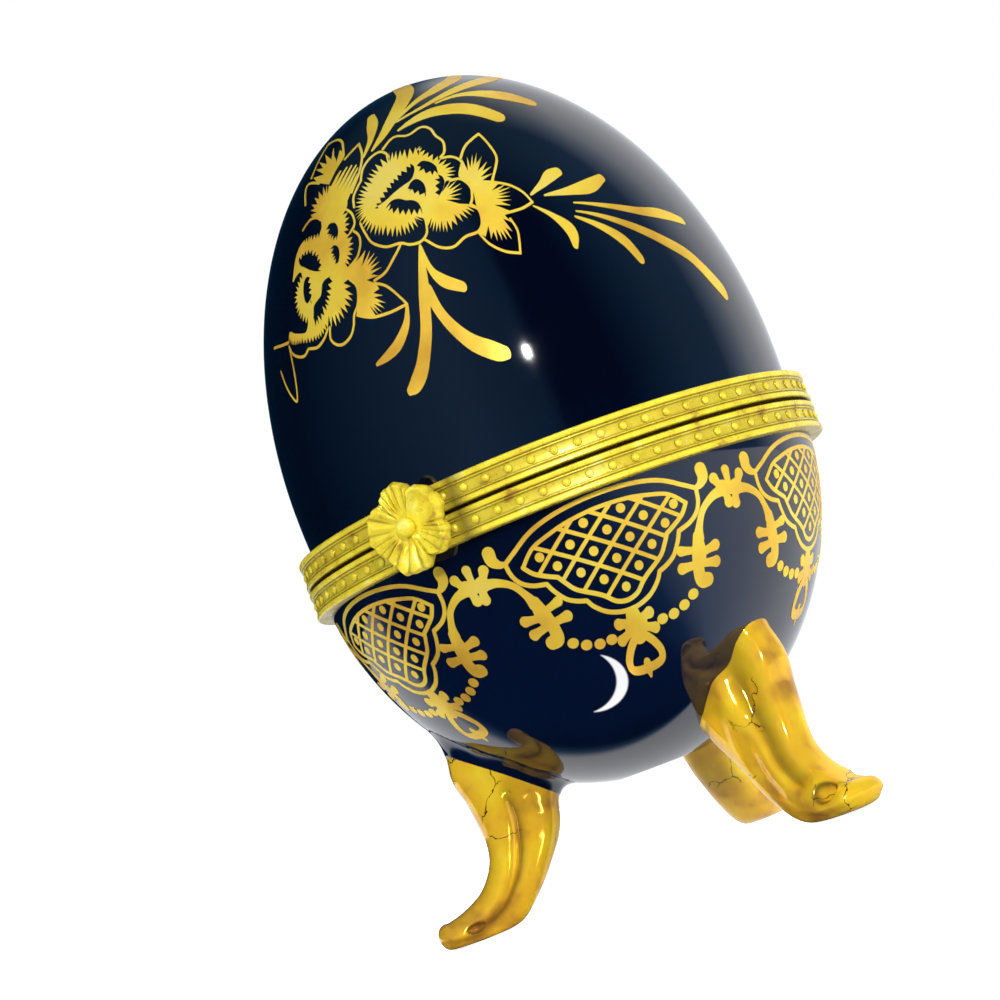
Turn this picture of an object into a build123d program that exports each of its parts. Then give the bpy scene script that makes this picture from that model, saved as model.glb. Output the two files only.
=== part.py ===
from build123d import *
import math
import os

# Hinged porcelain trinket egg on three cabriole feet, with metal rims and a flower clasp.
# Millimetres, +Z up, origin on the floor under the egg's axis, clasp at -Y and hinge at +Y.

# Porcelain egg
foot_height = 10.5
bowl_radius = 28.0
bowl_depth = 32.0
bowl_flat = 0.5
bowl_wall = 2.6
neck_step = 1.0
parting_drop = 1.2
dome_step = 0.4
dome_draw_in = 0.2
dome_rise = 40.4
belly_rise = 8.7
dome_wall = 2.6

# Metal rims
rim_overhang = 1.2
rim_height = 3.0
rim_gap = 0.3
rim_web = 0.65
rim_ledge = 0.7
groove_depth = 0.3
ridge_width = 0.7
ridge_round = 0.12
lip_height = 0.6
lip_thickness = 0.8
lip_clearance = 0.2
cement_gap = 0.05

# Cabriole feet
foot_turn = 6.0
leg_seat_inset = 12.0
toe_overhang = 0.3
leg_depth = 12.3
leg_width = 8.8
lobe_share = 0.28
lute_gap = 0.05

# Leg stations from inside the bowl to the toe tip: share of the way out, share of the seat's
# height, share of the leg's depth, shares of its width at the front lobe, the waist and the
# back lobe, tilt of the section
leg_stations = [
    (-0.04, 1.20, 0.93, 0.73, 0.93, 0.80, 41),
    (0.07, 0.88, 1.00, 0.80, 1.00, 0.84, 38),
    (0.08, 0.67, 0.81, 0.84, 0.84, 0.82, 36),
    (0.14, 0.47, 0.60, 0.82, 0.66, 0.75, 37),
    (0.25, 0.31, 0.49, 0.80, 0.64, 0.70, 46),
    (0.44, 0.16, 0.44, 0.80, 0.70, 0.66, 56),
    (0.68, 0.09, 0.37, 0.80, 0.77, 0.64, 66),
    (0.90, 0.07, 0.24, 0.66, 0.68, 0.57, 80),
    (0.98, 0.08, 0.13, 0.36, 0.41, 0.34, 86),
]

# Hinge
pin_radius = 0.6
pin_clearance = 0.04
pin_overhang = 0.2
knuckle_radius = 1.3
knuckle_length = 3.6
knuckle_gap = 0.15
hinge_stand_off = 0.15
leaf_height = 2.5
leaf_thickness = 0.75
solder_gap = 0.02

# Clasp
tongue_width = 4.2
tongue_thickness = 0.45
tongue_stand_off = 0.3
tongue_corner = 0.8
tongue_margin = 0.3
petal_count = 5
petal_turn = 27.0
petal_radius = 2.6
petal_ring_radius = 2.3
petal_thickness = 1.6
dish_depth = 0.6
vein_width = 0.4
vein_depth = 0.3
rivet_shank_radius = 0.5
rivet_head_radius = 0.95
rivet_head_height = 0.9
rivet_round = 0.5
rivet_clearance = 0.05
stud_radius = 0.6
stud_height = 0.9
stud_round = 0.4
window_clearance = 0.3

# Levels and radii that follow from the sizes above
bowl_centre = foot_height - bowl_flat + bowl_depth
parting = bowl_centre - parting_drop
base_top = parting - rim_gap / 2
base_bottom = base_top - rim_height
base_edge = base_top - rim_web
lid_bottom = parting + rim_gap / 2
lid_top = lid_bottom + rim_height
lid_edge = lid_bottom + rim_web
belly = parting + belly_rise
neck_radius = bowl_radius - neck_step
dome_radius = bowl_radius - dome_step
dome_foot_radius = dome_radius - dome_draw_in
lid_bore_radius = dome_radius - dome_wall
rim_radius = bowl_radius + rim_overhang
rim_bore_radius = neck_radius - rim_ledge
groove_radius = rim_radius - groove_depth
leg_seat_radius = bowl_radius - leg_seat_inset
toe_radius = bowl_radius + toe_overhang
collar_radius = neck_radius + cement_gap
lip_radius = rim_bore_radius - lip_clearance
base_bore_radius = lip_radius - lip_thickness
tongue_inner = rim_radius + tongue_stand_off
tongue_outer = tongue_inner + tongue_thickness
flower_radius = petal_ring_radius + petal_radius
corner = (Align.MIN, Align.MIN)


def bowl_level(radius):
    """Height of the bowl's outer surface at a distance from the axis."""
    return bowl_centre - bowl_depth * math.sqrt(1 - (radius / bowl_radius) ** 2)


def finish(piece, name):
    """Label a finished piece and write its file."""
    piece.part.label = name
    export_step(piece.part, f"parts/{name}.step")


# Bowl: an ellipsoid cup with a ground flat underneath and a neck for its rim
with BuildPart() as base_bowl:
    with BuildSketch(Plane.XZ):
        with Locations((0, bowl_centre)):
            Ellipse(bowl_radius, bowl_depth)
        with Locations((0, foot_height)):
            Rectangle(bowl_radius, base_bottom - foot_height, align=corner, mode=Mode.INTERSECT)
        with Locations((0, base_bottom)):
            Rectangle(neck_radius, base_edge - base_bottom, align=corner)
        with Locations((0, bowl_centre)):
            Ellipse(
                bowl_radius - bowl_wall,
                bowl_depth - bowl_flat - bowl_wall,
                mode=Mode.SUBTRACT,
            )
    revolve(axis=Axis.Z)
finish(base_bowl, "base_bowl")


def egg_crown(radius, rise):
    """Quarter of an ellipse from the belly up to the crown."""
    turns = [math.radians(step) for step in range(0, 91, 15)]
    points = [(radius * math.cos(turn), belly + rise * math.sin(turn)) for turn in turns]
    return Spline(*points, tangents=((0, 1), (-1, 0)))


# Dome: the upper half of the egg, drawn in a little below its belly
with BuildPart() as lid_dome:
    with BuildSketch(Plane.XZ):
        with BuildLine():
            crown = egg_crown(dome_radius, dome_rise)
            hollow = egg_crown(lid_bore_radius, dome_rise - dome_wall)
            Line(crown @ 1, hollow @ 1)
            skirt = TangentArc(crown @ 0, (dome_foot_radius, lid_top), tangent=(0, -1))
            Polyline(
                skirt @ 1,
                (neck_radius, lid_top),
                (neck_radius, lid_edge),
                (lid_bore_radius, lid_edge),
                hollow @ 0,
            )
        make_face()
    revolve(axis=Axis.Z)
finish(lid_dome, "lid_dome")


def ridged_band(bottom, top):
    """Outer wall of a rim from bottom to top: a groove for the beads between two ridges."""
    return [
        (rim_radius, bottom),
        (rim_radius, bottom + ridge_width),
        (groove_radius, bottom + ridge_width),
        (groove_radius, top - ridge_width),
        (rim_radius, top - ridge_width),
        (rim_radius, top),
    ]


def rim(bottom, top, inner_wall):
    """Turned metal rim: the ridged band outside and the given points back down its inside."""
    with BuildPart() as ring:
        with BuildSketch(Plane.XZ) as section:
            with BuildLine():
                Polyline(*ridged_band(bottom, top), *inner_wall, close=True)
            make_face()
            crests = section.vertices().filter_by(lambda v: v.X > groove_radius + groove_depth / 2)
            fillet(crests, ridge_round)
        revolve(axis=Axis.Z)
    return ring


# Base rim, with a low lip that centres the closed lid
base_rim = rim(
    base_bottom,
    base_top,
    [
        (lip_radius, base_top),
        (lip_radius, base_top + lip_height),
        (base_bore_radius, base_top + lip_height),
        (base_bore_radius, base_edge),
        (collar_radius, base_edge),
        (collar_radius, base_bottom),
    ],
)
finish(base_rim, "base_rim")

# Lid rim, whose bore drops over the lip
lid_rim = rim(
    lid_bottom,
    lid_top,
    [
        (collar_radius, lid_top),
        (collar_radius, lid_edge),
        (rim_bore_radius, lid_edge),
        (rim_bore_radius, lid_bottom),
    ],
)
finish(lid_rim, "lid_rim")

# Solid egg that the feet are shaped against
with BuildPart() as bowl_envelope:
    with BuildSketch(Plane.XZ):
        with Locations((0, bowl_centre)):
            Ellipse(bowl_radius + lute_gap, bowl_depth + lute_gap)
            Rectangle(
                bowl_radius + lute_gap,
                2 * (bowl_depth + lute_gap),
                align=(Align.MIN, Align.CENTER),
                mode=Mode.INTERSECT,
            )
    revolve(axis=Axis.Z)


def leg_section(depth, *width_shares):
    """Two-lobed outline: a front and a back lobe, with a flute on each side below the top."""
    front = depth / 2
    lobe = depth * lobe_share
    front_half, waist_half, back_half = (share * leg_width / 2 for share in width_shares)
    Spline(
        (front, 0),
        (lobe, front_half),
        (0, waist_half),
        (-lobe, back_half),
        (-front, 0),
        (-lobe, -back_half),
        (0, -waist_half),
        (lobe, -front_half),
        periodic=True,
    )


def foot(azimuth):
    """Cabriole foot lofted from the bowl to the toe, cut to the bowl and flat on its sole."""
    seat_height = bowl_level(leg_seat_radius)
    turn = math.radians(azimuth)
    outward = Vector(math.cos(turn), math.sin(turn), 0)
    across = Vector(-math.sin(turn), math.cos(turn), 0)
    with BuildPart() as leg:
        for share_out, share_up, share_deep, *width_shares, tilt in leg_stations:
            reach = leg_seat_radius + share_out * (toe_radius - leg_seat_radius)
            centre = outward * reach + Vector(0, 0, share_up * seat_height)
            lean = math.radians(tilt)
            slope = outward * math.cos(lean) + Vector(0, 0, math.sin(lean))
            with BuildSketch(Plane(centre, x_dir=slope, z_dir=slope.cross(across))):
                with BuildLine():
                    leg_section(share_deep * leg_depth, *width_shares)
                make_face()
        loft()
        split(bisect_by=Plane.XY, keep=Keep.TOP)
        add(bowl_envelope.part, mode=Mode.SUBTRACT)
    return leg


for index, name in enumerate(("foot_rear", "foot_front_left", "foot_front_right")):
    finish(foot(90 + 120 * index + foot_turn), name)

# Hinge at the back of the rims: two leaves that share a row of knuckles
hinge_y = rim_radius + hinge_stand_off + knuckle_radius
hinge_half = 1.5 * knuckle_length + knuckle_gap
middle = [(-knuckle_length / 2, knuckle_length / 2)]
outer = [
    (-hinge_half, -knuckle_length / 2 - knuckle_gap),
    (knuckle_length / 2 + knuckle_gap, hinge_half),
]


def knuckle_slices(spans, radius, margin, mode):
    """Cylinders about the hinge axis over spans of X, each longer by the margin at both ends."""
    for start, end in spans:
        with BuildSketch(Plane.YZ.offset(start - margin)) as slice_face:
            with Locations((hinge_y, parting)):
                Circle(radius)
        extrude(slice_face.sketch, amount=end - start + 2 * margin, mode=mode)


def hinge_leaf(plate_bottom, web_bottom, web_top, own, other):
    """Plate seated on a rim, with webs out to its own knuckles and room for the other leaf's."""
    with BuildPart() as leaf:
        with BuildSketch(Plane.YZ.offset(-hinge_half)):
            with Locations((0, plate_bottom)):
                Rectangle(rim_radius + leaf_thickness, leaf_height, align=corner)
        extrude(amount=2 * hinge_half)
        for start, end in own:
            with BuildSketch(Plane.YZ.offset(start)):
                with Locations((0, web_bottom)):
                    Rectangle(hinge_y, web_top - web_bottom, align=corner)
            extrude(amount=end - start)
        knuckle_slices(other, knuckle_radius + knuckle_gap, knuckle_gap, Mode.SUBTRACT)
        knuckle_slices(own, knuckle_radius, 0, Mode.ADD)
        knuckle_slices(own, pin_radius + pin_clearance, 0, Mode.SUBTRACT)
        Cylinder(
            rim_radius + solder_gap,
            lid_top,
            align=(Align.CENTER, Align.CENTER, Align.MIN),
            mode=Mode.SUBTRACT,
        )
    return leaf


base_leaf_top = base_top - knuckle_gap
hinge_base_leaf = hinge_leaf(
    base_leaf_top - leaf_height, parting - knuckle_radius, base_leaf_top, outer, middle
)
finish(hinge_base_leaf, "hinge_base_leaf")

lid_leaf_bottom = lid_bottom + knuckle_gap
hinge_lid_leaf = hinge_leaf(
    lid_leaf_bottom, lid_leaf_bottom, parting + knuckle_radius, middle, outer
)
finish(hinge_lid_leaf, "hinge_lid_leaf")

with BuildPart() as hinge_pin:
    with BuildSketch(Plane.YZ.offset(-hinge_half - pin_overhang)):
        with Locations((hinge_y, parting)):
            Circle(pin_radius)
    extrude(amount=2 * (hinge_half + pin_overhang))
    fillet(hinge_pin.edges().filter_by(GeomType.CIRCLE), pin_overhang)
finish(hinge_pin, "hinge_pin")

# Clasp at the front: a spring tongue hung from the lid rim, a riveted flower and a catch stud
flower_plane = Plane((0, -tongue_outer, parting), x_dir=(1, 0, 0), z_dir=(0, -1, 0))
tongue_bottom = base_bottom + tongue_margin
tongue_top = lid_top - tongue_margin
stud_level = base_top - rim_height / 2

with BuildPart() as clasp_tongue:
    with BuildSketch(Plane.XZ):
        with Locations((0, (tongue_bottom + tongue_top) / 2)):
            RectangleRounded(tongue_width, tongue_top - tongue_bottom, tongue_corner)
        with Locations((0, parting)):
            Circle(rivet_shank_radius + rivet_clearance, mode=Mode.SUBTRACT)
        with Locations((0, stud_level)):
            Circle(stud_radius + window_clearance, mode=Mode.SUBTRACT)
    extrude(amount=tongue_outer)
    Cylinder(
        tongue_outer, lid_top, align=(Align.CENTER, Align.CENTER, Align.MIN), mode=Mode.INTERSECT
    )
    Cylinder(
        tongue_inner, lid_top, align=(Align.CENTER, Align.CENTER, Align.MIN), mode=Mode.SUBTRACT
    )
finish(clasp_tongue, "clasp_tongue")

with BuildPart() as clasp_flower:
    dish_radius = (flower_radius**2 + dish_depth**2) / (2 * dish_depth)
    with BuildSketch(flower_plane):
        Circle(petal_ring_radius)
        with PolarLocations(petal_ring_radius, petal_count, start_angle=petal_turn):
            Circle(petal_radius)
        Circle(rivet_shank_radius + rivet_clearance, mode=Mode.SUBTRACT)
    extrude(amount=petal_thickness)
    with Locations(flower_plane.offset(petal_thickness - dish_depth + dish_radius)):
        Sphere(dish_radius, mode=Mode.SUBTRACT)
    with BuildSketch(flower_plane.offset(petal_thickness)):
        cleft_turn = petal_turn + 180 / petal_count
        with PolarLocations(petal_ring_radius, petal_count, start_angle=cleft_turn):
            SlotOverall(2 * petal_radius, vein_width)
    extrude(amount=-dish_depth - vein_depth, mode=Mode.SUBTRACT)
    with BuildSketch(flower_plane.offset(petal_thickness - dish_depth)):
        Circle(rivet_head_radius + rivet_clearance)
    extrude(amount=dish_depth, mode=Mode.SUBTRACT)
finish(clasp_flower, "clasp_flower")

with BuildPart() as clasp_rivet:
    with BuildSketch(flower_plane.offset(-tongue_thickness)):
        Circle(rivet_shank_radius)
    extrude(amount=tongue_thickness + petal_thickness - dish_depth)
    with BuildSketch(flower_plane.offset(petal_thickness - dish_depth)):
        Circle(rivet_head_radius)
    extrude(amount=rivet_head_height)
    fillet(clasp_rivet.edges().sort_by(Axis.Y)[0], rivet_round)
finish(clasp_rivet, "clasp_rivet")

with BuildPart() as catch_stud:
    with BuildSketch(Plane((0, -groove_radius, stud_level), x_dir=(1, 0, 0), z_dir=(0, -1, 0))):
        Circle(stud_radius)
    extrude(amount=stud_height)
    fillet(catch_stud.edges().sort_by(Axis.Y)[0], stud_round)
finish(catch_stud, "catch_stud")
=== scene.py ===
import bisect
import math

import bmesh
import bpy
from mathutils import Matrix, Vector, geometry


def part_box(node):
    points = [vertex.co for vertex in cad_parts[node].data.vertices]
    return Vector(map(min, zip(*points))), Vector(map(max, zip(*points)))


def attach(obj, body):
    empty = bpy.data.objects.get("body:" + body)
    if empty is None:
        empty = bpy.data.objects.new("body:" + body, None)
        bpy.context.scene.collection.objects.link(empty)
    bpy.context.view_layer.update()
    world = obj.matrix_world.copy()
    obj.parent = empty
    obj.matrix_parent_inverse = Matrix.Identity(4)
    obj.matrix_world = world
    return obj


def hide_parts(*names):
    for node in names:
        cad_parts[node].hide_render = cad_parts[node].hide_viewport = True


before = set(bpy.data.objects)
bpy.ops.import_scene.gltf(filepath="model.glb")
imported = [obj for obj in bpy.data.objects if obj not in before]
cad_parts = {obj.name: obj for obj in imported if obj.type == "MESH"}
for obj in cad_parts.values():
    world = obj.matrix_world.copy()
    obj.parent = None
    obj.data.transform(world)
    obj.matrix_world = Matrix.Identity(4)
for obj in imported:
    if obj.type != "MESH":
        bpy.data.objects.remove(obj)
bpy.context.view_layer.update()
scene = bpy.context.scene

# Looks of a hinged porcelain egg on three gilt feet. Lengths are in millimetres until a mesh
# is made. Azimuths are in degrees from the clasp, growing to the right as seen from the front.
mm = 0.001


def box_mm(node):
    """Lowest and highest corners of a CAD node in millimetres."""
    low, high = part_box(node)
    return low / mm, high / mm


# Porcelain
dome_low, dome_high = box_mm("lid_dome")
bowl_low, bowl_high = box_mm("base_bowl")
lid_rim_low, lid_rim_high = box_mm("lid_rim")
base_rim_low, base_rim_high = box_mm("base_rim")
rim_radius = lid_rim_high.x
rim_height = lid_rim_high.z - lid_rim_low.z
base_top = base_rim_low.z + rim_height
parting = (base_top + lid_rim_low.z) / 2
wall = 2.6
neck_radius = rim_radius - 2.2
bowl_radius = rim_radius - 1.2
bowl_depth = 32.0
bowl_flat = 0.5
bowl_centre = bowl_low.z - bowl_flat + bowl_depth
dome_radius = dome_high.x
belly = parting + 8.7
dome_rise = dome_high.z - belly
skirt_radius = dome_radius - 0.2

# Rims and clasp
bead_count = 76
bead_radius = 0.46
lip_radius = rim_radius - 3.1
lip_bore = rim_radius - 3.9
rim_bore = rim_radius - 2.9
flower_low, flower_high = box_mm("clasp_flower")
flower_radius = (flower_high.x - flower_low.x) / 2
flower_height = flower_high.y - flower_low.y
bead_seat = rim_radius - 0.36
bead_stand = 0.72 * bead_radius
# Painted shade round the foot of each bead, by row from the band up
bead_painted_shade = (0.95, 0.6, 0.1, 0, 0)
glue_gap = 0.05
# The rim's bore is darker
bore_darkening = 0.4
# A darker patch on both rims just right of the clasp: its azimuth, width and depth
dark_patch_azimuth = 9.6
dark_patch_width = 2.2
dark_patch_depth = 0.8

# Petals clockwise from the top: the cleft before each, its ribs, their height and its hollow
petals = [
    (24, 3, 0.03, 0.34),
    (99, 5, 0.06, 0.14),
    (157, 3, 0.10, 0.04),
    (236, 5, 0.06, 0.04),
    (331, 4, 0.11, 0.02),
]

# Feet: the CAD's leg stations, as shares of the way out, of the seat's height, of the depth
# and of the width at the front lobe, the waist and the back lobe, and the section's tilt
foot_azimuths = {"foot_front_left": -54, "foot_front_right": 66, "foot_rear": 186}
leg_seat_radius = bowl_radius - 12.0
toe_radius = bowl_radius + 0.3
leg_seat_height = bowl_centre - bowl_depth * math.sqrt(1 - (leg_seat_radius / bowl_radius) ** 2)
leg_depth = 12.3
leg_width = 8.8
leg_stations = [
    (-0.04, 1.20, 0.93, 0.73, 0.93, 0.80, 41),
    (0.07, 0.88, 1.00, 0.80, 1.00, 0.84, 38),
    (0.08, 0.67, 0.81, 0.84, 0.84, 0.82, 36),
    (0.14, 0.47, 0.60, 0.82, 0.66, 0.75, 37),
    (0.25, 0.31, 0.49, 0.80, 0.64, 0.70, 46),
    (0.44, 0.16, 0.44, 0.80, 0.70, 0.66, 56),
    (0.68, 0.09, 0.37, 0.80, 0.77, 0.64, 66),
    (0.88, 0.085, 0.27, 0.74, 0.76, 0.64, 80),
    (0.94, 0.09, 0.255, 0.70, 0.72, 0.62, 84),
]

# Flute of each leg: its start and end as shares of the way down, its turn from the front on the
# left at the top, on the left lower down and on the right, and its softness before and after.
# Then the hollow at the toe: its share of the way down, its turn, its length and its width.
leg_flutes = {
    "foot_front_left": (0.06, 0.74, 92, 92, 92, 9, 45, 0.77, 84, 0.05, 17),
    "foot_front_right": (0.0, 0.66, 68, 47, 86, 22, 14, 0.81, 48, 0.09, 30),
    "foot_rear": (0.05, 0.76, 80, 80, 80, 20, 20, 0.8, 72, 0.06, 20),
}

# Form of each leg: its twist at the top, extra girth of the front at the top and in the middle,
# extra girth of the back at the top and below it, and the fillet under the bowl
leg_forms = {
    "foot_front_left": (0, 0.0, 0.0, 0.0, 0.0, 2.4),
    "foot_front_right": (5, 0.03, 0.5, 0.4, 0.22, 0.3),
    "foot_rear": (0, 0.0, 0.0, 0.1, 0.0, 0.5),
}
flute_depth = 0.28
flute_shade = 0.6
pit_depth = 0.34
pit_shade = 0.85
back_shade = 0.6

# Gilding. Pieces of gold lie at four lifts in turn, so that none shares a surface with the next.
gold_lifts = 4
gold_lift = 0.03
gold_lift_step = 0.004
gold_sink = 0.05
widest_tile = 1.1
patch_step = 0.9
line_width = 0.32
band_azimuth = 34.7
band_repeats = 6
band_chart_radius = 27.0
spray_azimuth = 30


# Curves and meshes


def mix(a, b, share):
    """Point or number part of the way from a to b."""
    if isinstance(a, (int, float)):
        return a + (b - a) * share
    return tuple(x + (y - x) * share for x, y in zip(a, b))


def smooth(edge_low, edge_high, value):
    """Rises smoothly from 0 to 1 between two edges."""
    share = min(1, max(0, (value - edge_low) / (edge_high - edge_low)))
    return share * share * (3 - 2 * share)


def bell(value):
    """Falls smoothly from 1 at zero to almost 0 at two."""
    return math.exp(-(value**2))


def curve_at(points, share):
    """Point on a smooth curve through the points, by share of the way along them."""
    last = len(points) - 1
    place = min(max(share, 0), 1) * last
    index = min(int(place), last - 1)
    t = place - index
    a = points[max(index - 1, 0)]
    b = points[index]
    c = points[index + 1]
    d = points[min(index + 2, last)]
    return tuple(
        0.5 * (2 * q + (r - p) * t + (2 * p - 5 * q + 4 * r - s) * t * t
               + (3 * q - p - 3 * r + s) * t**3)
        for p, q, r, s in zip(a, b, c, d)
    )


def curve(points, count):
    """Evenly numbered points along a smooth curve through the points."""
    return [curve_at(points, index / (count - 1)) for index in range(count)]


def make_object(name, points, faces, material, sharp=35, shade_and_tarnish=()):
    """Mesh object from points in millimetres, smooth except at sharp edges."""
    mesh = bpy.data.meshes.new(name)
    mesh.from_pydata([Vector(p) * mm for p in points], [], faces)
    shape = bmesh.new()
    shape.from_mesh(mesh)
    bmesh.ops.recalc_face_normals(shape, faces=shape.faces)
    shape.to_mesh(mesh)
    shape.free()
    mesh.polygons.foreach_set("use_smooth", [True] * len(mesh.polygons))
    mesh.set_sharp_from_angle(angle=math.radians(sharp))
    mesh.materials.append(material)
    # Per-point darkening that the materials read: painted shade, and tarnish on the rims
    if shade_and_tarnish:
        mesh.attributes.new("shade_and_tarnish", "FLOAT", "POINT").data.foreach_set("value", shade_and_tarnish)
    made = bpy.data.objects.new(name, mesh)
    scene.collection.objects.link(made)
    return made


def around(radius, azimuth, height):
    """Point at a radius and azimuth about the egg's axis."""
    turn = math.radians(azimuth)
    return radius * math.sin(turn), -radius * math.cos(turn), height


def lathe(profile, segments=160):
    """Points and faces of a closed profile of (radius, height) turned about the axis."""
    points = []
    faces = []
    rings = []
    for radius, height in profile:
        if radius == 0:
            rings.append([len(points)] * segments)
            points.append((0, 0, height))
        else:
            rings.append(list(range(len(points), len(points) + segments)))
            points += [around(radius, 360 * k / segments, height) for k in range(segments)]
    for lower, upper in zip(rings, rings[1:] + rings[:1]):
        for k in range(segments):
            after = (k + 1) % segments
            loop = [lower[k], lower[after], upper[after], upper[k]]
            loop = [p for i, p in enumerate(loop) if p != loop[i - 1]]
            if len(loop) > 2:
                faces.append(loop)
    return points, faces


def quads(start, rows, columns):
    """Faces between neighbouring rings of points, counted from the start."""
    faces = []
    for row in range(rows - 1):
        here = start + row * columns
        above = here + columns
        for column in range(columns):
            after = (column + 1) % columns
            faces.append([here + column, here + after, above + after, above + column])
    return faces


# Materials


def new_material(name):
    """Material with its node tree and its shader."""
    material = bpy.data.materials.new(name)
    material.use_nodes = True
    tree = material.node_tree
    return material, tree, tree.nodes["Principled BSDF"]


def add_node(tree, kind, links=(), **settings):
    """Shader node with its settings and input values, linked from the given sockets."""
    node = tree.nodes.new("ShaderNode" + kind)
    for key, value in settings.items():
        socket = node.inputs.get(key.replace("_", " ").title())
        if socket is not None:
            socket.default_value = value
        else:
            setattr(node, key, value)
    for source, target in links:
        tree.links.new(source, node.inputs[target])
    return node


def place_of(tree):
    """Object coordinates, which are metres in the shared frame."""
    return add_node(tree, "TexCoord").outputs["Object"]


def noise(tree, scale, detail=3.0, output="Fac"):
    """Noise whose features are about 1/scale metres wide."""
    made = add_node(tree, "TexNoise", [(place_of(tree), "Vector")], scale=scale, detail=detail)
    return made.outputs[output]


def ramp(tree, source, stops):
    """Colour ramp over a value, from (position, colour) stops."""
    made = add_node(tree, "ValToRGB", [(source, "Fac")])
    elements = made.color_ramp.elements
    while len(elements) < len(stops):
        elements.new(1)
    for element, (position, colour) in zip(elements, stops):
        element.position = position
        element.color = (*colour, 1)
    return made.outputs["Color"]


def spread(tree, source, low=0, high=1, start=0.3, end=0.7):
    """Value between start and end stretched over low to high."""
    ends = {"from_min": start, "from_max": end, "to_min": low, "to_max": high}
    return add_node(tree, "MapRange", [(source, "Value")], **ends).outputs["Result"]


def finish(tree, shader, colour, grain, rough, relief):
    """Colour, roughness that varies by a noise, and relief of a noise, its strength and depth."""
    tree.links.new(colour, shader.inputs["Base Color"])
    tree.links.new(spread(tree, noise(tree, grain), *rough), shader.inputs["Roughness"])
    scale, detail, strength, depth = relief
    bumps = [(noise(tree, scale, detail), "Height")]
    made = add_node(tree, "Bump", bumps, strength=strength, distance=depth * mm)
    tree.links.new(made.outputs["Normal"], shader.inputs["Normal"])


def tinted(tree, share, clean, colour):
    """Colour that turns to a fixed one by a share."""
    made = add_node(tree, "Mix", [(share, "Factor"), (clean, "A")], data_type="RGBA")
    made.inputs["B"].default_value = (*colour, 1)
    return made.outputs["Result"]


def darkened_by_shade_and_tarnish(tree, clean, dark):
    """Colour that darkens with the mesh's per-point darkening: painted shade, and tarnish on the rims.
    """
    shade_and_tarnish = add_node(tree, "Attribute", attribute_name="shade_and_tarnish")
    return tinted(tree, shade_and_tarnish.outputs["Fac"], clean, dark)


def cobalt_glaze():
    """Deep cobalt glaze under a clear gloss, unevenly lighter blue low on the bowl and darker above it
    and at the very bottom.
    """
    material, tree, shader = new_material("cobalt_glaze")
    height = add_node(tree, "SeparateXYZ", [(place_of(tree), "Vector")]).outputs["Z"]
    drift = 30 * mm
    uneven = add_node(tree, "Math", [(noise(tree, 34), 0), (height, 2)], operation="MULTIPLY_ADD")
    uneven.inputs[1].default_value = drift
    level = spread(tree, uneven.outputs["Value"], start=20 * mm, end=110 * mm)
    blue = ramp(tree, level, [
        (0.05, (0.0008, 0.0022, 0.010)),
        (0.14, (0.0012, 0.0042, 0.021)),
        (0.3, (0.0009, 0.0030, 0.014)),
        (0.45, (0.0005, 0.0011, 0.0052)),
        (0.8, (0.0005, 0.0014, 0.0060)),
    ])
    shader.inputs["IOR"].default_value = 1.85
    finish(tree, shader, blue, 260, (0.02, 0.05), (180, 1.0, 0.1, 0.03))
    return material


def gold_print():
    """Satin gold printed on the glaze: a grainy film that thins here and there."""
    material, tree, shader = new_material("gold_print")
    gold = ramp(tree, noise(tree, 90, 4.0), [
        (0.3, (0.60, 0.31, 0.025)),
        (0.45, (0.82, 0.50, 0.045)),
        (0.58, (0.90, 0.64, 0.055)),
        (0.7, (0.90, 0.68, 0.12)),
    ])
    shader.inputs["Metallic"].default_value = 0.45
    finish(tree, shader, gold, 900, (0.28, 0.45), (2600, 2.0, 0.15, 0.02))
    return material


def gilt_brass():
    """Bright lemon-gilt brass with a pitted cast skin, pale specks in its noise as painted glints, and
    brown tarnish and painted shade in its crevices.
    """
    material, tree, shader = new_material("gilt_brass")
    # Noise from dark pits to pale specks: the pale specks are painted glints
    gold = ramp(tree, noise(tree, 420, 6.0), [
        (0.30, (0.42, 0.24, 0.02)),
        (0.38, (0.74, 0.56, 0.03)),
        (0.60, (0.87, 0.70, 0.04)),
        (0.78, (0.94, 0.82, 0.20)),
    ])
    tarnished_and_shaded = darkened_by_shade_and_tarnish(tree, gold, (0.10, 0.055, 0.008))
    shader.inputs["Metallic"].default_value = 0.3
    finish(tree, shader, tarnished_and_shaded, 1400, (0.22, 0.42), (3200, 3.0, 0.25, 0.05))
    return material


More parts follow.
